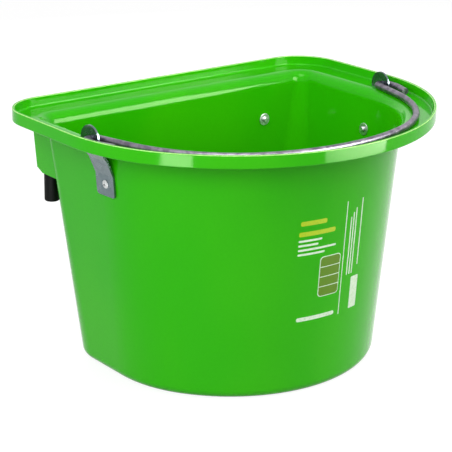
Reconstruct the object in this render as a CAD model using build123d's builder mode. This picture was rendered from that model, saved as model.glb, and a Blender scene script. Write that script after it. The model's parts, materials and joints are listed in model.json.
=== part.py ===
from build123d import *
import os
from math import asin, atan, atan2, cos, degrees, radians, sin, tan

os.makedirs("parts", exist_ok=True)

# Portable feed trough, millimetres.
# X runs across the trough, the bowed front faces -Y, the flat rear faces +Y and Z is up.
# The origin lies on the floor, midway across and midway between the front and the rear of the rim.

# Rim: a flat shelf with a raised outer lip
rim_width = 400.0
rim_depth = 312.0
rim_height = 255.0
rim_corner_radius = 46.0
rim_side_centre_x = 35.0
bow_flatness = 19.0
lip_height = 10.0
lip_thickness = 2.5
shelf_thickness = 2.5
shelf_width = 32.5
lip_edge_radius = 1.0
lip_foot_radius = 2.0

# Tub below the rim
wall = 2.5
floor_thickness = 3.0
side_taper = 22.0
rear_taper = 5.5
front_taper = 15.5
base_corner_radius = 44.0
base_side_centre_x = 26.5
rolled_edge_radius = 12.0
base_edge_radius = 9.0

# Bail and its ears
wire_radius = 3.4
bail_rest_gap = 0.3
ear_beyond_wall = 14.5
ear_before_side_end = 7.5
ear_thickness = 2.0
ear_width = 26.0
ear_eye_clearance = 0.5
ear_foot_length = 21.0
ear_foot_drop = 30.5
ear_knee_drop = 13.5
ear_knee_stand_off = 6.0
ear_bend_drop = 2.5
ear_bend_radius = 6.0
ear_corner_radius = 3.0
ear_rivet_up = 12.0
slot_clearance = 0.4
hairpin_width = 12.0
hairpin_radius = 4.5
hairpin_inner_offset = 5.6
leg_straight = 18.0
leg_toe_x = 7.5
leg_toe_y = 19.5
leg_bend_radius = 20.0
bail_front_inset = 21.5
bail_side_inset = 20.0
bail_radius_step = 75.0
bail_front_half_angle = 20.0
bail_side_end_angle = 75.0

# Rivets and washers
rivet_radius = 2.0
rivet_head_radius = 4.0
rivet_head_height = 1.7
rivet_tail_radius = 3.2
rivet_tail_height = 2.6
rivet_clearance = 0.05
rivet_head_rim = 0.5
washer_radius = 6.6
washer_thickness = 1.2
washer_edge_radius = 0.55
washer_seat_gap = 0.05

# Swivel hooks at the rear corners
rod_radius = 4.0
hook_inside_wall = 17.5
hook_behind_wall = 10.5
hook_reach = 55.0
hook_bend_radius = 10.0
hook_under_shelf = 1.2
hook_leg_length = 55.0
swivel_clearance = 0.1
press_clearance = 0.05
boss_half_width = 12.0
boss_rear_wall = 3.5
boss_top_drop = 16.5
boss_height = 38.0
cheek_thickness = 3.0
cheek_step = 0.8
cheek_below_boss = 4.0
cheek_chamfer_y = 9.0
cheek_chamfer_z = 4.5
cheek_edge_radius = 2.5
collar_radius = 5.8
collar_height = 4.0
collar_seat_gap = 0.3
cap_radius = 7.5
cap_length = 34.0
cap_edge_radius = 1.5
rod_in_cap = 21.0
sleeve_radius = 6.0
sleeve_length = 44.0
sleeve_end = 4.0

# Clip that keeps each hook stowed
clip_thickness = 1.2
clip_height = 16.0
clip_rivet_beyond_jaw = 16.0
clip_rivet_drop = 43.5
clip_end_margin = 8.0
clip_jaw_clearance = 0.6
clip_arm_past_centre = 3.0
clip_lip = 2.0

# How near a face's height must be to the height that picks it
level_tolerance = 0.1

# Heights, half sizes and radii worked out from the sizes above
# The bowed front starts where the straight sides end, so its depth follows the width
shelf_z = rim_height - lip_height
shelf_under_z = shelf_z - shelf_thickness
side_end_y = rim_width / 2 - bow_flatness - rim_depth / 2
rim_side_radius = rim_width / 2 - rim_side_centre_x
top_half_width = rim_width / 2 - shelf_width
top_rear_y = rim_depth / 2 - shelf_width
top_front_y = -rim_depth / 2 + shelf_width
top_corner_radius = rim_corner_radius - shelf_width
top_side_radius = rim_side_radius - shelf_width
base_half_width = top_half_width - side_taper
base_rear_y = top_rear_y - rear_taper
base_front_y = top_front_y + front_taper
base_side_radius = base_half_width - base_side_centre_x
side_lean = atan(side_taper / shelf_under_z)
rear_lean = atan(rear_taper / shelf_under_z)

# Places of the ears and of the hooks, worked out from the tub's top edge
ear_plane_x = top_half_width + ear_beyond_wall
ear_y = side_end_y - ear_before_side_end
ear_foot_top_z = shelf_under_z - ear_foot_drop
ear_knee_z = shelf_under_z - ear_knee_drop
ear_bend_z = shelf_under_z - ear_bend_drop
hook_x = top_half_width - hook_inside_wall
hook_y = top_rear_y + hook_behind_wall
jaw_x = hook_x - hook_reach
clip_rivet_x = jaw_x + clip_rivet_beyond_jaw
clip_rivet_z = shelf_under_z - clip_rivet_drop


def d_loop(half_width, rear, front, corner, side_radius):
    """Closed outline: straight rear, rounded rear corners, straight sides and a three-centred front."""
    depth = side_end_y - front
    side_centre = half_width - side_radius
    drop = (side_centre**2 - (depth - side_radius) ** 2) / (2 * (depth - side_radius))
    turn = degrees(atan2(drop, side_centre))
    with BuildLine(Plane.XY, mode=Mode.PRIVATE) as loop:
        back = Line((-half_width + corner, rear), (half_width - corner, rear))
        right_corner = JernArc(back @ 1, (1, 0), corner, -90)
        right = Line(right_corner @ 1, (half_width, side_end_y))
        right_bow = JernArc(right @ 1, (0, -1), side_radius, -turn)
        bow = JernArc(right_bow @ 1, right_bow % 1, depth + drop, 2 * turn - 180)
        left_bow = JernArc(bow @ 1, bow % 1, side_radius, -turn)
        left = Line(left_bow @ 1, (-half_width, rear - corner))
        JernArc(left @ 1, (0, 1), corner, -90)
    return loop.edges()


def rim_loop(inset):
    """Outline of the rim, moved inwards by an inset."""
    return d_loop(
        rim_width / 2 - inset,
        rim_depth / 2 - inset,
        -rim_depth / 2 + inset,
        rim_corner_radius - inset,
        rim_side_radius - inset,
    )


def wall_loop(z, inset):
    """Outline of the tub's outer face at a height, moved inwards by an inset."""
    up = z / shelf_under_z

    def between(base, top):
        return base + (top - base) * up

    return d_loop(
        between(base_half_width, top_half_width) - inset,
        between(base_rear_y, top_rear_y) - inset,
        between(base_front_y, top_front_y) + inset,
        between(base_corner_radius, top_corner_radius) - inset,
        between(base_side_radius, top_side_radius) - inset,
    )


def level_with(z):
    """Test for faces that lie at a height."""
    return lambda face: abs(face.center().Z - z) < level_tolerance


def side_wall_x(z):
    """Half width of the tub's outer face at a height."""
    return base_half_width + z * tan(side_lean)


def rear_wall_y(z):
    """Rear outer face of the tub at a height."""
    return base_rear_y + z * tan(rear_lean)


def rivet_outline(grip):
    """Half section of a set blind rivet: local Y is its axis and 0 is the face under its head."""
    dome = rivet_head_height - rivet_head_rim
    dome_radius = (rivet_head_radius**2 + dome**2) / (2 * dome)
    dome_angle = degrees(asin(rivet_head_radius / dome_radius))
    with BuildLine(Plane.XY, mode=Mode.PRIVATE) as outline:
        cap = CenterArc((0, rivet_head_height - dome_radius), dome_radius, 90 - dome_angle, dome_angle)
        Polyline(
            cap @ 1,
            (0, -grip - rivet_tail_height),
            (rivet_radius, -grip - rivet_tail_height),
            (rivet_tail_radius, -grip - rivet_tail_height / 2),
            (rivet_tail_radius, -grip),
            (rivet_radius, -grip),
            (rivet_radius, 0),
            (rivet_head_radius, 0),
            cap @ 0,
        )
    return outline.edges()


# Planes on the tub's faces, right side: local Z points away from the tub
# The ear stands square to the bowed wall, so its planes turn with the wall's tangent there
side_out = Vector(cos(side_lean), 0, -sin(side_lean))
ear_rivet_z = ear_foot_top_z - ear_foot_length + ear_rivet_up
ear_turn = asin(ear_before_side_end / top_side_radius)
ear_wall_x = side_wall_x(ear_rivet_z) - top_side_radius * (1 - cos(ear_turn))
ear_out = Vector(cos(ear_turn), -sin(ear_turn), 0)
ear_along = Vector(sin(ear_turn), cos(ear_turn), 0)
side_plane = Plane(
    origin=(ear_wall_x, ear_y, ear_rivet_z),
    x_dir=ear_along,
    z_dir=ear_out * cos(side_lean) - Vector(0, 0, sin(side_lean)),
)
rear_out = Vector(0, cos(rear_lean), -sin(rear_lean))
rear_plane = Plane(
    origin=(clip_rivet_x, rear_wall_y(clip_rivet_z), clip_rivet_z),
    x_dir=(-1, 0, 0),
    z_dir=rear_out,
)


def section_plane(face_plane, stand_off):
    """Plane through a face's normal: local Y is the normal, starting a stand-off above the face."""
    return Plane(
        origin=face_plane.origin + face_plane.z_dir * stand_off,
        x_dir=face_plane.x_dir,
        z_dir=face_plane.x_dir.cross(face_plane.z_dir),
    )


# Hook levels
hook_leg_z = shelf_under_z - hook_under_shelf - rod_radius
boss_top_z = shelf_under_z - boss_top_drop
boss_bottom_z = boss_top_z - boss_height
boss_rear_y = hook_y + rod_radius + boss_rear_wall
cheek_bottom_z = boss_bottom_z - cheek_below_boss

# Moulded housing at the right rear corner: an outer cheek, and a boss that the hook turns in
cheek_plane = Plane(
    origin=(side_wall_x(0) - cheek_step, 0, 0),
    x_dir=(0, 1, 0),
    z_dir=side_out,
)
cheek_front_y = rear_wall_y(0) - base_corner_radius
with BuildPart() as housing:
    with BuildSketch(cheek_plane):
        with BuildLine():
            Polyline(
                (cheek_front_y, shelf_under_z / cos(side_lean)),
                (cheek_front_y, cheek_bottom_z / cos(side_lean)),
                (boss_rear_y - cheek_chamfer_y, cheek_bottom_z / cos(side_lean)),
                (boss_rear_y, (cheek_bottom_z + cheek_chamfer_z) / cos(side_lean)),
                (boss_rear_y, shelf_under_z / cos(side_lean)),
                close=True,
            )
        make_face()
        fillet(vertices().group_by(Axis.X)[-1].sort_by(Axis.Y)[0], cheek_edge_radius)
        fillet(vertices().group_by(Axis.Y)[0].sort_by(Axis.X)[-1], cheek_edge_radius)
    extrude(amount=-cheek_thickness)
    with BuildSketch(Plane.XY.offset(boss_bottom_z)):
        with BuildLine():
            Polyline(
                (hook_x - boss_half_width, top_rear_y - wall - rolled_edge_radius),
                (top_half_width, top_rear_y - wall - rolled_edge_radius),
                (top_half_width, boss_rear_y),
                (hook_x - boss_half_width, boss_rear_y),
                close=True,
            )
        make_face()
        fillet(vertices().group_by(Axis.Y)[-1].sort_by(Axis.X)[0], cheek_edge_radius)
    extrude(amount=boss_height)
    split(bisect_by=cheek_plane, keep=Keep.BOTTOM)

# Trough body: rim, tapered tub and both housings, moulded in one piece
with BuildPart() as trough_body:
    with BuildSketch(Plane.XY.offset(shelf_under_z)):
        make_face(rim_loop(0))
    extrude(amount=shelf_thickness)
    with BuildSketch(Plane.XY):
        make_face(wall_loop(0, 0))
    with BuildSketch(Plane.XY.offset(shelf_under_z)):
        make_face(wall_loop(shelf_under_z, 0))
    loft(ruled=True)
    fillet(faces().sort_by(Axis.Z)[0].edges(), base_edge_radius)
    under_shelf = faces().filter_by(Plane.XY).filter_by(level_with(shelf_under_z))[0]
    fillet(under_shelf.inner_wires()[0].edges(), rolled_edge_radius - wall)
    add(housing.part)
    mirror(housing.part, about=Plane.YZ)
    with BuildSketch(Plane.XY.offset(floor_thickness)):
        make_face(wall_loop(floor_thickness, wall))
    with BuildSketch(Plane.XY.offset(shelf_z)):
        make_face(wall_loop(shelf_z, wall))
    loft(ruled=True, mode=Mode.SUBTRACT)
    inner_floor = faces().filter_by(level_with(floor_thickness))[0]
    fillet(inner_floor.outer_wire().edges(), base_edge_radius - wall)
    shelf_top = faces().sort_by(Axis.Z)[-1]
    fillet(shelf_top.inner_wires()[0].edges(), rolled_edge_radius)
    with BuildSketch(Plane.XY.offset(shelf_under_z)):
        make_face(rim_loop(0))
        make_face(rim_loop(lip_thickness), mode=Mode.SUBTRACT)
    extrude(amount=rim_height - shelf_under_z)
    fillet(faces().sort_by(Axis.Z)[-1].edges(), lip_edge_radius)
    rim_under = faces().filter_by(Plane.XY).filter_by(level_with(shelf_under_z)).sort_by(SortBy.AREA)[-1]
    fillet(rim_under.outer_wire().edges(), lip_edge_radius)
    shelf_top = faces().filter_by(Plane.XY).filter_by(level_with(shelf_z))[0]
    fillet(shelf_top.outer_wire().edges(), lip_foot_radius)
    for side in (-1, 1):
        with BuildSketch(Plane.XY.offset(shelf_under_z)):
            with Locations((side * ear_plane_x, ear_y)):
                Rectangle(
                    ear_thickness + 2 * slot_clearance,
                    ear_width + 2 * slot_clearance,
                    rotation=-side * degrees(ear_turn),
                )
        extrude(amount=shelf_thickness, mode=Mode.SUBTRACT)
        with BuildSketch(Plane.XY.offset(boss_bottom_z)):
            with Locations((side * hook_x, hook_y)):
                Circle(rod_radius + swivel_clearance)
        extrude(amount=boss_height, mode=Mode.SUBTRACT)
    for face_plane in (side_plane, rear_plane):
        for hole_plane in (face_plane, Plane(face_plane.location.mirror(Plane.YZ))):
            with BuildSketch(hole_plane):
                Circle(rivet_radius + rivet_clearance)
            extrude(amount=2 * wall, both=True, mode=Mode.SUBTRACT)
trough_body.part.label = "trough_body"
export_step(trough_body.part, "parts/trough_body.step")

# Ear strap, right side: rounded top with the eye, through the shelf's slot and riveted to the wall
eye_z = shelf_z + bail_rest_gap + wire_radius
ear_radius = ear_width / 2
ear_foot_bottom_z = ear_foot_top_z - ear_foot_length
ear_profile_plane = Plane(origin=(ear_wall_x, ear_y, 0), x_dir=ear_out, z_dir=-ear_along)
ear_face_plane = Plane(origin=(ear_plane_x, ear_y, 0), x_dir=ear_along, z_dir=ear_out)
ear_foot_bottom_out = (ear_foot_bottom_z - ear_rivet_z) * tan(side_lean) + ear_thickness / 2 / cos(side_lean)
ear_foot_top_out = ear_foot_bottom_out + ear_foot_length * tan(side_lean)
ear_knee_out = ear_foot_top_out + (ear_knee_z - ear_foot_top_z) * tan(side_lean) + ear_knee_stand_off
ear_upright_out = ear_plane_x - ear_wall_x
with BuildPart() as ear_right:
    with BuildSketch(ear_profile_plane):
        with BuildLine():
            FilletPolyline(
                (ear_foot_bottom_out, ear_foot_bottom_z),
                (ear_foot_top_out, ear_foot_top_z),
                (ear_knee_out, ear_knee_z),
                (ear_upright_out, ear_bend_z),
                (ear_upright_out, eye_z + ear_radius),
                radius=ear_bend_radius,
            )
        trace(line_width=ear_thickness)
    extrude(amount=ear_width, both=True)
    with BuildSketch(ear_face_plane.offset(-ear_plane_x / 2)):
        with Locations((0, eye_z)):
            Circle(ear_radius)
        with BuildLine():
            Polyline(
                (-ear_radius, eye_z),
                (-ear_radius, ear_foot_bottom_z),
                (ear_radius, ear_foot_bottom_z),
                (ear_radius, eye_z),
                close=True,
            )
        make_face()
        fillet(vertices().group_by(Axis.Y)[0], ear_corner_radius)
    extrude(amount=ear_plane_x, mode=Mode.INTERSECT)
    with BuildSketch(ear_face_plane):
        with Locations((0, eye_z)):
            Circle(wire_radius + ear_eye_clearance)
    extrude(amount=2 * ear_thickness, both=True, mode=Mode.SUBTRACT)
    with BuildSketch(side_plane):
        Circle(rivet_radius + rivet_clearance)
    extrude(amount=2 * ear_thickness, both=True, mode=Mode.SUBTRACT)

# Blind rivet and washer that hold the ear's foot; the flat washer spans the wall's slight bow
ear_washer_drop = wall * cos(side_lean) + washer_radius**2 / (2 * top_side_radius) + washer_seat_gap
ear_grip = ear_thickness + ear_washer_drop + washer_thickness
with BuildPart() as ear_rivet_right:
    with BuildSketch(section_plane(side_plane, ear_thickness)):
        make_face(rivet_outline(ear_grip))
    revolve(axis=Axis(side_plane.origin, side_plane.z_dir))
with BuildPart() as ear_washer_right:
    with BuildSketch(side_plane.offset(-ear_washer_drop)):
        Circle(washer_radius)
        Circle(rivet_radius + rivet_clearance, mode=Mode.SUBTRACT)
    extrude(amount=-washer_thickness)
    fillet(edges().group_by(SortBy.LENGTH)[-1], washer_edge_radius)

# Bail: one round wire that lies on the shelf, with a hairpin through each ear's eye
with BuildPart() as bail_handle:
    hairpin_inner_x = ear_plane_x - hairpin_inner_offset
    hairpin_outer_x = hairpin_inner_x + hairpin_width
    half_angle = radians(bail_front_half_angle)
    end_angle = radians(bail_side_end_angle)
    bail_side_radius = rim_side_radius - bail_side_inset
    bail_front_radius = bail_side_radius + bail_radius_step
    front_centre_y = -rim_depth / 2 + bail_front_inset + bail_front_radius
    side_centre_x = (bail_front_radius - bail_side_radius) * sin(half_angle)
    side_centre_y = front_centre_y - (bail_front_radius - bail_side_radius) * cos(half_angle)
    with BuildLine(Plane.XY.offset(eye_z)) as bail_path:
        bow = CenterArc((0, front_centre_y), bail_front_radius, -90, bail_front_half_angle)
        bow_side = CenterArc(
            (side_centre_x, side_centre_y),
            bail_side_radius,
            -90 + bail_front_half_angle,
            bail_side_end_angle - bail_front_half_angle,
        )
        FilletPolyline(
            bow_side @ 1,
            (hairpin_inner_x, ear_y),
            (hairpin_outer_x, ear_y),
            (hairpin_outer_x, ear_y - leg_straight),
            (hairpin_outer_x - leg_toe_x, ear_y - leg_straight - leg_toe_y),
            radius=[hairpin_radius, hairpin_radius, leg_bend_radius],
        )
        mirror(about=Plane.YZ)
    leg_end = Vector(hairpin_outer_x - leg_toe_x, ear_y - leg_straight - leg_toe_y, eye_z)
    with BuildSketch(Plane(origin=leg_end, x_dir=(0, 0, 1), z_dir=(-leg_toe_x, -leg_toe_y, 0))):
        Circle(wire_radius)
    sweep()

# Swivel hook rod, right side: a shaft down through the boss, a leg under the shelf and a down-leg
cap_top_z = boss_bottom_z - collar_seat_gap
shaft_bottom_z = cap_top_z - rod_in_cap
leg_bottom_z = hook_leg_z - hook_leg_length
with BuildPart() as hook_rod_right:
    with BuildLine():
        FilletPolyline(
            (hook_x, hook_y, shaft_bottom_z),
            (hook_x, hook_y, hook_leg_z),
            (jaw_x, hook_y, hook_leg_z),
            (jaw_x, hook_y, leg_bottom_z),
            radius=hook_bend_radius,
        )
    with BuildSketch(Plane.XY.offset(shaft_bottom_z)):
        with Locations((hook_x, hook_y)):
            Circle(rod_radius)
    sweep()

# Collar pressed on the shaft: it carries the trough's weight under the boss
with BuildPart() as hook_collar_right:
    with BuildSketch(Plane.XY.offset(cap_top_z)):
        with Locations((hook_x, hook_y)):
            Circle(collar_radius)
            Circle(rod_radius + press_clearance, mode=Mode.SUBTRACT)
    extrude(amount=-collar_height)

# End cap over the collar and the shaft's end
with BuildPart() as hook_end_cap_right:
    with BuildSketch(Plane.XY.offset(cap_top_z)):
        with Locations((hook_x, hook_y)):
            Circle(cap_radius)
    extrude(amount=-cap_length)
    fillet(edges().group_by(Axis.Z)[0], cap_edge_radius)
    with BuildSketch(Plane.XY.offset(cap_top_z)):
        with Locations((hook_x, hook_y)):
            Circle(collar_radius + press_clearance)
    extrude(amount=-collar_height - press_clearance, mode=Mode.SUBTRACT)
    with BuildSketch(Plane.XY.offset(cap_top_z)):
        with Locations((hook_x, hook_y)):
            Circle(rod_radius + press_clearance)
    extrude(amount=-rod_in_cap - press_clearance, mode=Mode.SUBTRACT)

# Sleeve over the down-leg
sleeve_bottom_z = leg_bottom_z - sleeve_end
with BuildPart() as hook_sleeve_right:
    with BuildSketch(Plane.XY.offset(sleeve_bottom_z)):
        with Locations((jaw_x, hook_y)):
            Circle(sleeve_radius)
    extrude(amount=sleeve_length)
    fillet(edges().group_by(Axis.Z)[0], cap_edge_radius)
    with BuildSketch(Plane.XY.offset(leg_bottom_z - press_clearance)):
        with Locations((jaw_x, hook_y)):
            Circle(rod_radius + press_clearance)
    extrude(amount=sleeve_length, mode=Mode.SUBTRACT)

# Clip on the rear wall: a riveted plate with two upright arms beside the sleeve
jaw_half_gap = sleeve_radius + clip_jaw_clearance
arm_top = hook_y + clip_arm_past_centre - rear_wall_y(clip_rivet_z)
with BuildPart() as hook_clip_right:
    with BuildSketch(rear_plane):
        plate_right = clip_rivet_x - jaw_x + jaw_half_gap + clip_thickness
        with Locations(((plate_right - clip_end_margin) / 2, 0)):
            RectangleRounded(plate_right + clip_end_margin, clip_height, ear_corner_radius)
        Circle(rivet_radius + rivet_clearance, mode=Mode.SUBTRACT)
    extrude(amount=clip_thickness)
    for side in (-1, 1):
        with BuildSketch(section_plane(rear_plane, 0)):
            with BuildLine():
                foot = clip_rivet_x - jaw_x + side * jaw_half_gap
                Polyline(
                    (foot, 0),
                    (foot, arm_top),
                    (foot + side * clip_lip, arm_top + clip_lip),
                    (foot + side * (clip_lip + clip_thickness), arm_top + clip_lip),
                    (foot + side * clip_thickness, arm_top),
                    (foot + side * clip_thickness, 0),
                    close=True,
                )
            make_face()
        extrude(amount=clip_height / 2 - ear_corner_radius, both=True)

# Blind rivet and washer that hold the clip
clip_washer_drop = wall + washer_seat_gap
clip_grip = clip_thickness + clip_washer_drop + washer_thickness
with BuildPart() as clip_rivet_right:
    with BuildSketch(section_plane(rear_plane, clip_thickness)):
        make_face(rivet_outline(clip_grip))
    revolve(axis=Axis(rear_plane.origin, rear_plane.z_dir))
with BuildPart() as clip_washer_right:
    with BuildSketch(rear_plane.offset(-clip_washer_drop)):
        Circle(washer_radius)
        Circle(rivet_radius + rivet_clearance, mode=Mode.SUBTRACT)
    extrude(amount=-washer_thickness)
    fillet(edges().group_by(SortBy.LENGTH)[-1], washer_edge_radius)

bail_handle.part.label = "bail_handle"
export_step(bail_handle.part, "parts/bail_handle.step")

# Every other piece stands at the right side and, mirrored, at the left side
right_pieces = {
    "ear": ear_right,
    "ear_rivet": ear_rivet_right,
    "ear_washer": ear_washer_right,
    "hook_rod": hook_rod_right,
    "hook_collar": hook_collar_right,
    "hook_end_cap": hook_end_cap_right,
    "hook_sleeve": hook_sleeve_right,
    "hook_clip": hook_clip_right,
    "clip_rivet": clip_rivet_right,
    "clip_washer": clip_washer_right,
}
for name, right_piece in right_pieces.items():
    right_piece.part.label = name + "_right"
    export_step(right_piece.part, "parts/" + name + "_right.step")
    with BuildPart() as left_piece:
        mirror(right_piece.part, about=Plane.YZ)
    left_piece.part.label = name + "_left"
    export_step(left_piece.part, "parts/" + name + "_left.step")
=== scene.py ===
import json
from math import cos, pi, radians, sin

import bmesh
import bpy
import numpy as np
from mathutils import Matrix, Vector
from mathutils.bvhtree import BVHTree


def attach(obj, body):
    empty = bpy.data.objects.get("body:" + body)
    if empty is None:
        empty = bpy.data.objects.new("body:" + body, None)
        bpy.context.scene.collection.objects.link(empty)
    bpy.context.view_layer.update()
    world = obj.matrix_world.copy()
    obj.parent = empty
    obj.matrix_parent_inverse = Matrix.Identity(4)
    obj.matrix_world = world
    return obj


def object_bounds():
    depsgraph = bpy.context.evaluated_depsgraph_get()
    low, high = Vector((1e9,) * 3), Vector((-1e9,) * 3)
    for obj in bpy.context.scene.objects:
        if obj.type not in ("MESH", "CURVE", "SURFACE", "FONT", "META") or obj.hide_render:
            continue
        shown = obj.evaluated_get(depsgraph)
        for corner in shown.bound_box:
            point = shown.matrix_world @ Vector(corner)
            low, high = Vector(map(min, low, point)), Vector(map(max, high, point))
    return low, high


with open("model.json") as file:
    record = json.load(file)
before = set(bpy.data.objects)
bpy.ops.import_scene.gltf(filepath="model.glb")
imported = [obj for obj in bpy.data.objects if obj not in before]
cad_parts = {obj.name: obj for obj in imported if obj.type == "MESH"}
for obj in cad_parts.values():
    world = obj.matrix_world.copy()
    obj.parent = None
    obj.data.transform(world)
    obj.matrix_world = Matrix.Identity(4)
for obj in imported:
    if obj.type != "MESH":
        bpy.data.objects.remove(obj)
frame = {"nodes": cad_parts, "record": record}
cad_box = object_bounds()
nodes = frame["nodes"]
MM = 0.001

# Camera, fitted to the photograph's rim, base and rivets
CAMERA_AZIMUTH = radians(-39.07)
CAMERA_ELEVATION = radians(19.01)
CAMERA_ROLL = radians(1.08)
CAMERA_DISTANCE = 1532.07 * MM
CAMERA_LENS = 123.36
CAMERA_AIM_HEIGHT = 133.05 * MM
CAMERA_AIM_ACROSS = -28.24 * MM
SENSOR_WIDTH = 36.0

# Light levels: the sky as it lights the part, and the white that the camera and gloss see
SKY_LEVEL = 0.54
BACKGROUND_LEVEL = 1.0
FLOOR_LIFT = 0.82
FLOOR_HALF = 8.0

# Softboxes: name, place, aim, size, watts and colour, in metres. Fills give soft light, strips show in gloss
PART_MIDDLE = (0, 0, 0.14)
RIM_MIDDLE = (0, 0, 0.2)
FILLS = (
    ("overhead_fill", (0.35, -0.55, 1.25), RIM_MIDDLE, (0.9, 0.7), 5.0, (1.0, 0.985, 0.95)),
    ("left_fill", (-1.25, -1.1, 0.95), PART_MIDDLE, (1.0, 1.0), 18.0, (0.98, 0.99, 1.0)),
    ("side_fill", (-1.3, 0.05, 0.55), PART_MIDDLE, (0.7, 0.7), 4.0, (0.98, 0.99, 1.0)),
    ("right_fill", (0.78, -0.42, 0.36), (0.05, -0.1, 0.2), (0.22, 0.68), 2.8, (1.0, 0.96, 0.80)),
    ("rear_fill", (0.5, 1.5, 0.5), PART_MIDDLE, (1.0, 0.8), 9.0, (1.0, 1.0, 0.98)),
)
STRIPS = (
    ("right_strip", (0.47, -0.79, 0.50), (0.0, 0.02, 0.50), (0.64, 1.0), 38.0, (1.0, 0.99, 0.96)),
    ("left_strip", (-0.79, -0.41, 0.08), (-0.15, -0.08, 0.08), (0.26, 0.16), 2.8, (0.97, 1.0, 1.0)),
    ("overhead_strip", (-0.25, -0.3, 1.5), RIM_MIDDLE, (0.7, 0.7), 10.0, (1.0, 1.0, 0.98)),
)

# Heights between which wear on the plastic fades, under the base and on the lip's top, and where the painted
# highlight on the lip's rounded top edge fades
BASE_WEAR = (0.0029, 0.0)
LIP_WEAR = (0.2535, 0.255)
EDGE_HIGHLIGHT = (0.2515, 0.253)

# Print on the front wall: how far each layer of ink stands out, how far it is sunk, how often it is divided,
# and how far before the part its rays start
PRINT_LIFT = 0.12 * MM
PRINT_SUNK = 0.10 * MM
PRINT_STEP = 2.5 * MM
PROBE_GAP = 0.05

# Each print's name, ink, layer and boxes: left, right, bottom, top and corner radius, in millimetres from the
# middle of the front and from the floor
PRINTS = (
    ("print_rule", "ink_white", 1, [(11.2, 12.2, 74, 189, 0.4)]),
    ("print_heading", "ink_yellow", 1, [(-41, -13, 173, 177.5, 1.6), (-42, -2, 162.5, 167, 1.6)]),
    ("print_lines", "ink_white", 1, [
        (-42, -17, 157, 159, 0.9),
        (-42, -21, 152.5, 154.5, 0.9),
        (-42, 0, 148, 150, 0.9),
        (-42, -13, 143.5, 145.5, 0.9),
    ]),
    ("print_panel_frame", "ink_white", 1, [(-17, 8, 98, 139, 4.0)]),
    ("print_panel", "ink_olive", 2, [(-16.2, 7.2, 98.8, 138.2, 3.4)]),
    ("print_dividers", "ink_white", 3, [(-16.2, 7.2, z, z + 0.7, 0.3) for z in (108, 118, 128)]),
    ("print_foot", "ink_white", 1, [(-38, 5, 76, 80, 1.8)]),
    ("print_columns", "ink_white", 1, [
        (18, 19.4, 113, 172, 0.6),
        (21.5, 22.9, 113, 176, 0.6),
        (25, 26.4, 113, 180, 0.6),
        (33, 34.4, 120, 188, 0.6),
    ]),
    ("print_block", "ink_white", 1, [(26, 37, 76, 109, 1.0)]),
)
CORNER_STEPS = 6

# Broken stem in the middle of each rivet's dome
STEM_RADIUS = 1.15 * MM
STEM_RING_RADIUS = 1.6 * MM
STEM_RING_HEIGHT = 0.22 * MM
STEM_SUNK = 0.4 * MM
STEM_CENTRE = 0.01 * MM
STEM_SIDES = 32
WELD = 0.001 * MM
TUB_MIDDLE = np.array((0.0, 0.0, 0.2))


def srgb(red, green, blue):
    """Linear colour from 0 to 255 display values."""
    linear = []
    for value in (red, green, blue):
        share = value / 255
        linear.append(share / 12.92 if share <= 0.04045 else ((share + 0.055) / 1.055) ** 2.4)
    return (*linear, 1.0)


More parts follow.
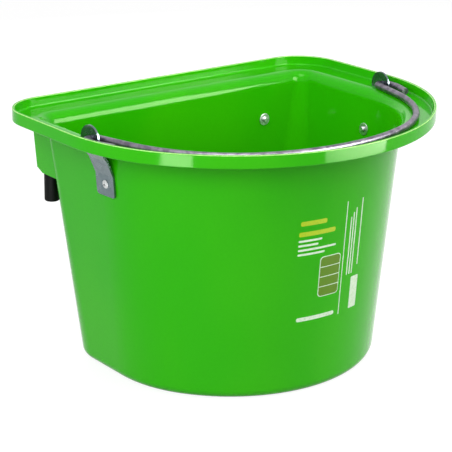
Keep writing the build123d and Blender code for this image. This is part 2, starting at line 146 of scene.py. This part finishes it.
class Finish:
    """A node material with helpers that add one small group of nodes each."""

    def __init__(self, name):
        self.material = bpy.data.materials.new(name)
        self.material.use_nodes = True
        self.tree = self.material.node_tree
        self.shader = self.tree.nodes["Principled BSDF"]
        self.place = self.tree.nodes.new("ShaderNodeTexCoord").outputs["Object"]

    def link(self, source, target):
        self.tree.links.new(source, target)

    def set(self, **values):
        for socket, value in values.items():
            self.shader.inputs[socket.replace("_", " ")].default_value = value

    def stretched(self, stretch):
        mapping = self.tree.nodes.new("ShaderNodeMapping")
        mapping.inputs["Scale"].default_value = stretch
        self.link(self.place, mapping.inputs["Vector"])
        return mapping.outputs["Vector"]

    def noise(self, scale, detail=3.0, roughness=0.5, stretch=(1, 1, 1)):
        node = self.tree.nodes.new("ShaderNodeTexNoise")
        node.inputs["Scale"].default_value = scale
        node.inputs["Detail"].default_value = detail
        node.inputs["Roughness"].default_value = roughness
        self.link(self.stretched(stretch), node.inputs["Vector"])
        return node.outputs["Fac"]

    def cells(self, scale):
        node = self.tree.nodes.new("ShaderNodeTexVoronoi")
        node.inputs["Scale"].default_value = scale
        self.link(self.stretched((1, 1, 1)), node.inputs["Vector"])
        grey = self.tree.nodes.new("ShaderNodeRGBToBW")
        self.link(node.outputs["Color"], grey.inputs[0])
        return grey.outputs[0]

    def spread(self, source, low, high, to_low=0.0, to_high=1.0):
        node = self.tree.nodes.new("ShaderNodeMapRange")
        node.interpolation_type = "SMOOTHSTEP"
        values = {"From Min": low, "From Max": high, "To Min": to_low, "To Max": to_high}
        for socket, value in values.items():
            node.inputs[socket].default_value = value
        self.link(source, node.inputs["Value"])
        return node.outputs["Result"]

    def height(self, low, high):
        """0 below one height and 1 above the other, in metres; the other way round if low is the higher."""
        split = self.tree.nodes.new("ShaderNodeSeparateXYZ")
        self.link(self.place, split.inputs[0])
        return self.spread(split.outputs["Z"], low, high)

    def slope(self, low, high):
        """0 below one upward share of the surface's normal and 1 above the other; reversed as height is."""
        split = self.tree.nodes.new("ShaderNodeSeparateXYZ")
        self.link(self.tree.nodes.new("ShaderNodeNewGeometry").outputs["Normal"], split.inputs[0])
        return self.spread(split.outputs["Z"], low, high)

    def times(self, first, second):
        return self.math("MULTIPLY", first, second)

    def math(self, operation, first, second):
        node = self.tree.nodes.new("ShaderNodeMath")
        node.operation = operation
        for socket, value in zip(node.inputs, (first, second)):
            if isinstance(value, (int, float)):
                socket.default_value = value
            else:
                self.link(value, socket)
        return node.outputs[0]

    def mix(self, share, first, second):
        node = self.tree.nodes.new("ShaderNodeMix")
        node.data_type = "RGBA"
        for socket, value in ((node.inputs[0], share), (node.inputs[6], first), (node.inputs[7], second)):
            if isinstance(value, bpy.types.NodeSocket):
                self.link(value, socket)
            else:
                socket.default_value = value
        return node.outputs[2]

    def bump(self, heights):
        """Chained bumps: a list of (height socket, strength, distance in metres)."""
        normal = None
        for source, strength, distance in heights:
            node = self.tree.nodes.new("ShaderNodeBump")
            node.inputs["Strength"].default_value = strength
            node.inputs["Distance"].default_value = distance
            self.link(source, node.inputs["Height"])
            if normal is not None:
                self.link(normal, node.inputs["Normal"])
            normal = node.outputs["Normal"]
        self.link(normal, self.shader.inputs["Normal"])

    def colour(self, source):
        self.link(source, self.shader.inputs["Base Color"])

    def roughness(self, source):
        self.link(source, self.shader.inputs["Roughness"])


def green_plastic():
    """Glossy moulded polypropylene: flow mottling, rubbed base and lip, a painted highlight along the lip's
    rounded top edge, and slight orange peel.
    """
    finish = Finish("green_plastic")
    finish.set(Specular_IOR_Level=0.16, IOR=1.49, Specular_Tint=(0.95, 1.0, 0.72, 1.0))
    flow = finish.noise(7.0, 2.0, 0.5, (1.0, 1.0, 0.45))
    grain = finish.noise(420.0, 2.0)
    fresh = finish.mix(finish.spread(flow, 0.35, 0.65), srgb(44, 180, 3), srgb(56, 187, 5))
    tone = finish.mix(finish.spread(grain, 0.3, 0.7, 0.0, 0.10), fresh, srgb(38, 160, 6))
    rubbed_base = finish.times(finish.height(*BASE_WEAR), finish.spread(finish.noise(90.0, 4.0), 0.48, 0.66))
    scratches = finish.noise(60.0, 3.0, 0.6, (1.0, 9.0, 1.0))
    rubbed_lip = finish.times(finish.height(*LIP_WEAR), finish.spread(scratches, 0.52, 0.70))
    rubbed = finish.math("MAXIMUM", rubbed_base, rubbed_lip)
    worn = finish.mix(finish.times(rubbed, 0.45), tone, srgb(120, 205, 100))
    # Painted highlight: a pale line along the lip's rounded top edge stands in for light catching the edge,
    # broken up by the scratch noise
    rounding = finish.times(finish.slope(0.2, 0.5), finish.slope(0.99, 0.9))
    edge = finish.times(rounding, finish.height(*EDGE_HIGHLIGHT))
    painted_edge_highlight = finish.times(edge, finish.spread(scratches, 0.2, 0.7, 0.5, 0.9))
    finish.colour(finish.mix(painted_edge_highlight, worn, srgb(196, 244, 150)))
    gloss = finish.spread(finish.noise(24.0, 3.0), 0.3, 0.7, 0.07, 0.12)
    finish.roughness(finish.math("ADD", gloss, finish.times(rubbed, 0.25)))
    finish.bump([
        (finish.noise(11.0, 1.0), 0.05, 0.9 * MM),
        (finish.noise(900.0, 2.0), 0.05, 0.05 * MM),
        (scratches, 0.03, 0.05 * MM),
    ])
    return finish.material


def galvanised_wire():
    """Zinc-coated wire: a soft grey metal with mottling and dull rubbed patches."""
    finish = Finish("galvanised_wire")
    finish.set(Metallic=0.85, Specular_IOR_Level=0.5)
    mottle = finish.noise(140.0, 5.0, 0.62)
    patches = finish.noise(28.0, 3.0)
    zinc = finish.mix(finish.spread(mottle, 0.32, 0.68), srgb(100, 94, 108), srgb(146, 139, 153))
    finish.colour(finish.mix(finish.spread(patches, 0.5, 0.75, 0.0, 0.45), zinc, srgb(82, 77, 88)))
    finish.roughness(finish.spread(mottle, 0.25, 0.75, 0.30, 0.46))
    finish.bump([
        (mottle, 0.25, 0.12 * MM),
        (finish.noise(900.0, 2.0), 0.15, 0.04 * MM),
    ])
    return finish.material


def galvanised_sheet():
    """Hot-dipped strap: zinc spangle in crystal cells over a bright grey, with fine handling marks."""
    finish = Finish("galvanised_sheet")
    finish.set(Metallic=0.9, Specular_IOR_Level=0.5)
    spangle = finish.cells(260.0)
    marks = finish.noise(120.0, 4.0, 0.6, (1.0, 1.0, 7.0))
    zinc = finish.mix(spangle, srgb(98, 113, 117), srgb(120, 134, 138))
    finish.colour(finish.mix(finish.spread(marks, 0.5, 0.72, 0.0, 0.4), zinc, srgb(86, 98, 101)))
    gloss = finish.spread(spangle, 0.0, 1.0, 0.16, 0.24)
    finish.roughness(finish.math("ADD", gloss, finish.times(marks, 0.08)))
    finish.bump([
        (spangle, 0.10, 0.05 * MM),
        (marks, 0.12, 0.04 * MM),
    ])
    return finish.material


def rivet_metal():
    """Bright aluminium with turned-out dull specks."""
    finish = Finish("rivet_metal")
    finish.set(Metallic=1.0)
    specks = finish.noise(700.0, 4.0, 0.6)
    finish.colour(finish.mix(finish.spread(specks, 0.35, 0.7), srgb(186, 190, 190), srgb(232, 234, 234)))
    finish.roughness(finish.spread(specks, 0.3, 0.7, 0.32, 0.48))
    finish.bump([(specks, 0.18, 0.05 * MM)])
    return finish.material


def stem_metal():
    """Dark snapped steel in the middle of a rivet."""
    finish = Finish("stem_metal")
    finish.set(Metallic=0.9)
    specks = finish.noise(1500.0, 3.0)
    finish.colour(finish.mix(specks, srgb(58, 60, 62), srgb(120, 122, 122)))
    finish.roughness(finish.spread(specks, 0.3, 0.7, 0.4, 0.6))
    finish.bump([(specks, 0.4, 0.06 * MM)])
    return finish.material


def black_cap():
    """Matt black moulded cap with a fine grain and greyed handling patches."""
    finish = Finish("black_cap")
    finish.set(Specular_IOR_Level=0.12)
    grain = finish.noise(800.0, 3.0, 0.6)
    patches = finish.noise(60.0, 3.0)
    finish.colour(finish.mix(finish.spread(patches, 0.4, 0.7), srgb(4, 6, 5), srgb(10, 12, 11)))
    finish.roughness(finish.spread(patches, 0.3, 0.7, 0.42, 0.58))
    finish.bump([(grain, 0.3, 0.06 * MM)])
    return finish.material


def print_ink(name, colour, thin_colour):
    """Screen-printed ink: slightly uneven cover over the plastic, with a satin surface."""
    finish = Finish(name)
    finish.set(Specular_IOR_Level=0.2)
    cover = finish.noise(500.0, 4.0, 0.65)
    finish.colour(finish.mix(finish.spread(cover, 0.45, 0.75, 0.0, 0.6), colour, thin_colour))
    finish.roughness(finish.spread(cover, 0.3, 0.7, 0.30, 0.42))
    finish.bump([(cover, 0.1, 0.03 * MM)])
    return finish.material


def floor_finish():
    """Plain studio floor: matt, lifted to a pale white for the camera and gloss, with the shadow kept."""
    finish = Finish("studio_floor")
    speck = finish.noise(3.0, 2.0)
    finish.colour(finish.mix(speck, (0.24, 0.24, 0.24, 1.0), (0.26, 0.26, 0.26, 1.0)))
    finish.set(Roughness=0.9, Specular_IOR_Level=0.1)
    lift = finish.tree.nodes.new("ShaderNodeEmission")
    lift.inputs["Color"].default_value = (1.0, 1.0, 1.0, 1.0)
    finish.link(finish.times(seen_rays(finish), FLOOR_LIFT), lift.inputs["Strength"])
    both = finish.tree.nodes.new("ShaderNodeAddShader")
    finish.link(finish.shader.outputs[0], both.inputs[0])
    finish.link(lift.outputs[0], both.inputs[1])
    finish.link(both.outputs[0], finish.tree.nodes["Material Output"].inputs["Surface"])
    return finish.material


def seen_rays(finish):
    """1 for camera, glossy and transmission rays."""
    path = finish.tree.nodes.new("ShaderNodeLightPath")
    share = finish.math("MAXIMUM", path.outputs["Is Camera Ray"], path.outputs["Is Glossy Ray"])
    return finish.math("MAXIMUM", share, path.outputs["Is Transmission Ray"])


def white_world():
    """Soft even sky for light, and a white background for what the camera, gloss and glass see."""
    world = bpy.data.worlds.new("studio")
    world.use_nodes = True
    tree = world.node_tree
    sky = tree.nodes["Background"]
    sky.inputs["Color"].default_value = (1.0, 1.0, 1.0, 1.0)
    path = tree.nodes.new("ShaderNodeLightPath")
    seen = path.outputs["Is Camera Ray"]
    for ray in ("Is Glossy Ray", "Is Transmission Ray"):
        either = tree.nodes.new("ShaderNodeMath")
        either.operation = "MAXIMUM"
        tree.links.new(seen, either.inputs[0])
        tree.links.new(path.outputs[ray], either.inputs[1])
        seen = either.outputs[0]
    level = tree.nodes.new("ShaderNodeMapRange")
    level.inputs["To Min"].default_value = SKY_LEVEL
    level.inputs["To Max"].default_value = BACKGROUND_LEVEL
    tree.links.new(seen, level.inputs["Value"])
    tree.links.new(level.outputs["Result"], sky.inputs["Strength"])
    bpy.context.scene.world = world


def camera():
    """Camera at the photograph's place, from azimuth, elevation, roll and distance."""
    right = Vector((cos(CAMERA_AZIMUTH), sin(CAMERA_AZIMUTH), 0))
    back = Vector((
        sin(CAMERA_AZIMUTH) * cos(CAMERA_ELEVATION),
        -cos(CAMERA_AZIMUTH) * cos(CAMERA_ELEVATION),
        sin(CAMERA_ELEVATION),
    ))
    up = back.cross(right)
    aim = Vector((0, 0, CAMERA_AIM_HEIGHT)) + right * CAMERA_AIM_ACROSS
    rolled_right = right * cos(CAMERA_ROLL) + up * sin(CAMERA_ROLL)
    rolled_up = up * cos(CAMERA_ROLL) - right * sin(CAMERA_ROLL)
    data = bpy.data.cameras.new("camera")
    data.sensor_width = SENSOR_WIDTH
    data.lens = CAMERA_LENS
    eye = bpy.data.objects.new("camera", data)
    turn = Matrix((rolled_right, rolled_up, back)).transposed().to_4x4()
    eye.matrix_world = Matrix.Translation(aim + back * CAMERA_DISTANCE) @ turn
    bpy.context.scene.collection.objects.link(eye)
    bpy.context.scene.camera = eye


def softbox(name, place, aim, size, power, colour, in_gloss):
    """Rectangular lamp that the camera doesn't see: it shows in gloss, or else gives soft light."""
    data = bpy.data.lights.new(name, "AREA")
    data.shape = "RECTANGLE"
    data.size, data.size_y = size
    data.energy = power
    data.color = colour
    lamp = bpy.data.objects.new(name, data)
    lamp.location = place
    lamp.rotation_euler = (Vector(aim) - Vector(place)).to_track_quat("-Z", "Y").to_euler()
    lamp.visible_camera = False
    lamp.visible_glossy = in_gloss
    lamp.visible_diffuse = not in_gloss
    bpy.context.scene.collection.objects.link(lamp)


def lights():
    for lamps, in_gloss in ((FILLS, False), (STRIPS, True)):
        for lamp in lamps:
            softbox(*lamp, in_gloss)


def floor():
    mesh = bpy.data.meshes.new("floor")
    corners = [(x * FLOOR_HALF, y * FLOOR_HALF, 0) for x, y in ((-1, -1), (1, -1), (1, 1), (-1, 1))]
    mesh.from_pydata(corners, [], [(0, 1, 2, 3)])
    ground = bpy.data.objects.new("floor", mesh)
    mesh.materials.append(floor_finish())
    bpy.context.scene.collection.objects.link(ground)


def new_piece(name, bm, material):
    """Object from a bmesh, riding on the trough, with its material and slot."""
    bmesh.ops.recalc_face_normals(bm, faces=bm.faces)
    mesh = bpy.data.meshes.new(name)
    bm.to_mesh(mesh)
    bm.free()
    piece = bpy.data.objects.new(name, mesh)
    mesh.materials.append(material)
    bpy.context.scene.collection.objects.link(piece)
    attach(piece, "trough")
    return piece


def wall_tree():
    """Search tree of the trough body's faces, to lay the print on."""
    body = nodes["trough_body"]
    return BVHTree.FromPolygons(
        [v.co.copy() for v in body.data.vertices],
        [tuple(p.vertices) for p in body.data.polygons],
    )


def rounded(left, right, bottom, top, corner):
    """Rounded rectangle in millimetres, as (x, z) points in metres."""
    points = []
    for x, z, start in (
        (right - corner, top - corner, 0),
        (left + corner, top - corner, 90),
        (left + corner, bottom + corner, 180),
        (right - corner, bottom + corner, 270),
    ):
        for step in range(CORNER_STEPS + 1):
            angle = radians(start + 90 * step / CORNER_STEPS)
            points.append(((x + corner * cos(angle)) * MM, (z + corner * sin(angle)) * MM))
    return points


def printed(name, shapes, wall, material, lift):
    """Thin ink on the front wall: each shape is an outline in x and z, laid on the wall's own face."""
    bm = bmesh.new()
    for points in shapes:
        bm.faces.new([bm.verts.new((x, 0, z)) for x, z in points])
    for axis in (0, 2):
        values = [v.co[axis] for v in bm.verts]
        cut = min(values) + PRINT_STEP
        normal = Vector((1, 0, 0)) if axis == 0 else Vector((0, 0, 1))
        while cut < max(values):
            everything = bm.verts[:] + bm.edges[:] + bm.faces[:]
            bmesh.ops.bisect_plane(bm, geom=everything, plane_co=normal * cut, plane_no=normal)
            cut += PRINT_STEP
    front = bmesh.ops.extrude_face_region(bm, geom=bm.faces[:])
    raised = {g for g in front["geom"] if isinstance(g, bmesh.types.BMVert)}
    for vert in bm.verts:
        hit = wall.ray_cast(Vector((vert.co.x, probe_start, vert.co.z)), Vector((0, 1, 0)))[0]
        vert.co.y = hit.y + (-lift if vert in raised else PRINT_SUNK)
    return new_piece(name, bm, material)


def front_print(wall):
    """Generic print: a rule, plain bars and a framed panel with divider lines."""
    inks = {
        "ink_white": print_ink("ink_white", srgb(226, 244, 222), srgb(150, 214, 140)),
        "ink_yellow": print_ink("ink_yellow", srgb(184, 208, 16), srgb(130, 196, 12)),
        "ink_olive": print_ink("ink_olive", srgb(92, 132, 2), srgb(80, 146, 4)),
    }
    for name, ink, layer, boxes in PRINTS:
        printed(name, [rounded(*box) for box in boxes], wall, inks[ink], layer * PRINT_LIFT)


def rivet_axis(node):
    """Pole of a rivet's dome and its outward axis, from the rivet's own mesh."""
    points = np.array([v.co for v in nodes[node].data.vertices])
    centre = points.mean(0)
    axis = np.linalg.eigh(np.cov((points - centre).T))[1][:, 2]
    if axis @ (centre - TUB_MIDDLE) < 0:
        axis = -axis
    along = (points - centre) @ axis
    middle = (points.min(0) + points.max(0)) / 2
    return Vector(middle + axis * (along.max() - (middle - centre) @ axis)), Vector(axis)


def turned(name, node, profile, material):
    """Lathe piece on a rivet's axis: the profile is a list of (radius, height over the dome's pole)."""
    pole, axis = rivet_axis(node)
    turn = Matrix.Translation(pole) @ axis.to_track_quat("Z", "Y").to_matrix().to_4x4()
    bm = bmesh.new()
    verts = [bm.verts.new((radius, 0, height)) for radius, height in profile]
    edges = [bm.edges.new(pair) for pair in zip(verts, verts[1:] + verts[:1])]
    bmesh.ops.spin(
        bm, geom=verts + edges, cent=(0, 0, 0), axis=(0, 0, 1), angle=2 * pi, steps=STEM_SIDES, use_merge=True
    )
    bmesh.ops.remove_doubles(bm, verts=bm.verts, dist=WELD)
    bmesh.ops.transform(bm, matrix=turn, verts=bm.verts)
    return new_piece(name, bm, material)


def rivet_stems():
    """Each blind rivet's snapped stem: a low aluminium ring round a dark steel core."""
    steel = stem_metal()
    ring = [
        (STEM_RADIUS, -STEM_SUNK),
        (STEM_RING_RADIUS, -STEM_SUNK),
        (STEM_RING_RADIUS, 0.0),
        (STEM_RADIUS + STEM_RING_HEIGHT, STEM_RING_HEIGHT),
        (STEM_RADIUS, STEM_RING_HEIGHT),
    ]
    core = [
        (STEM_CENTRE, -STEM_SUNK),
        (STEM_RADIUS, -STEM_SUNK),
        (STEM_RADIUS, 0.0),
        (STEM_RADIUS / 2, STEM_RING_HEIGHT / 2),
        (STEM_CENTRE, STEM_RING_HEIGHT / 3),
    ]
    bright = nodes["ear_rivet_right"].data.materials[0]
    for node in ("ear_rivet_right", "ear_rivet_left", "clip_rivet_right", "clip_rivet_left"):
        turned(node + "_ring", node, ring, bright)
        turned(node + "_stem", node, core, steel)


def paint():
    """Gives each CAD node the material of its slot."""
    finishes = {
        "green_plastic": green_plastic(),
        "galvanised_wire": galvanised_wire(),
        "galvanised_sheet": galvanised_sheet(),
        "rivet_metal": rivet_metal(),
        "black_cap": black_cap(),
    }
    for entry in frame["record"]["subparts"]:
        mesh = nodes[entry["node"]].data
        mesh.materials.clear()
        mesh.materials.append(finishes[entry["material_slot"]])


probe_start = cad_box[0][1] - PROBE_GAP
camera()
white_world()
lights()
floor()
paint()
front_print(wall_tree())
rivet_stems()

bpy.context.scene.view_settings.view_transform = "Standard"
